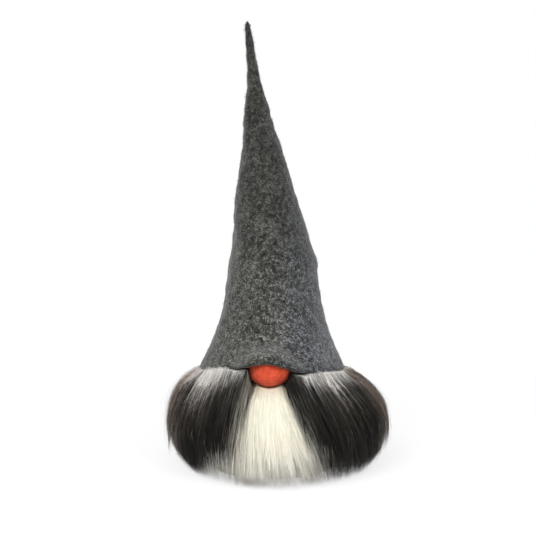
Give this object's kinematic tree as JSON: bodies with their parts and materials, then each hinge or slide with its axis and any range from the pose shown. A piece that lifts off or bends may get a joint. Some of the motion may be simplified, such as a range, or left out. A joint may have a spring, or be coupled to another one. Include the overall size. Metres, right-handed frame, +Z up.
{
  "type": "tomte figure",
  "caption": "Stuffed tomte with a tall pointed felt hat that lifts off, a felted round nose, a pale beard and long dark hair all round its weighted body.",
  "frame": {"origin": "middle of the flat felt underside that the figure stands on, on the axis of its body and of the hat's turning", "axes": "+Z up through the hat; the figure faces -Y, so +X is to the right as one looks at its face"},
  "size_m": [0.2, 0.2001, 0.403],
  "materials": {
    "hat_felt": "matte",
    "nose_felt": "matte",
    "dark_hair": "satin",
    "white_hair": "satin",
    "hide": "matte",
    "body_cloth": "matte",
    "foot_felt": "matte",
    "board": "matte",
    "cotton": "matte",
    "wadding": "matte",
    "sand": "matte",
    "thread": "matte"
  },
  "bodies": {
    "figure": {"base_cloth": "foot_felt", "base_board": "board", "base_seam": "thread", "ballast_sack": "cotton", "ballast_sand": "sand", "sack_tie": "thread", "body_cover": "body_cloth", "body_wadding": "wadding", "beard_hair": "white_hair", "beard_hide": "hide", "left_hair": "dark_hair", "left_hide": "hide", "right_hair": "dark_hair", "right_hide": "hide", "left_cheek_seam": "thread", "right_cheek_seam": "thread", "back_seam": "thread", "nose": "nose_felt", "nose_thread": "thread"},
    "wadding": {"hat_wadding": "wadding"},
    "hat": {"hat_shell": "hat_felt"},
    "tip": {"hat_tip": "hat_felt"}
  },
  "joints": [
    {"name": "hat_lift", "type": "slide", "parent": "figure", "child": "wadding", "axis": [0, 0, 1], "range_m": [0, 0.13]},
    {"name": "hat_turn", "type": "hinge", "parent": "wadding", "child": "hat", "pos_m": [0, 0, 0.1], "axis": [0, 0, 1], "range_deg": [-5, 5]},
    {"name": "tip_bend", "type": "hinge", "parent": "hat", "child": "tip", "pos_m": [-0.01579, 0, 0.342], "axis": [0, 1, 0], "range_deg": [-40, 40], "stiffness_Nm_per_rad": 0.02}
  ]
}
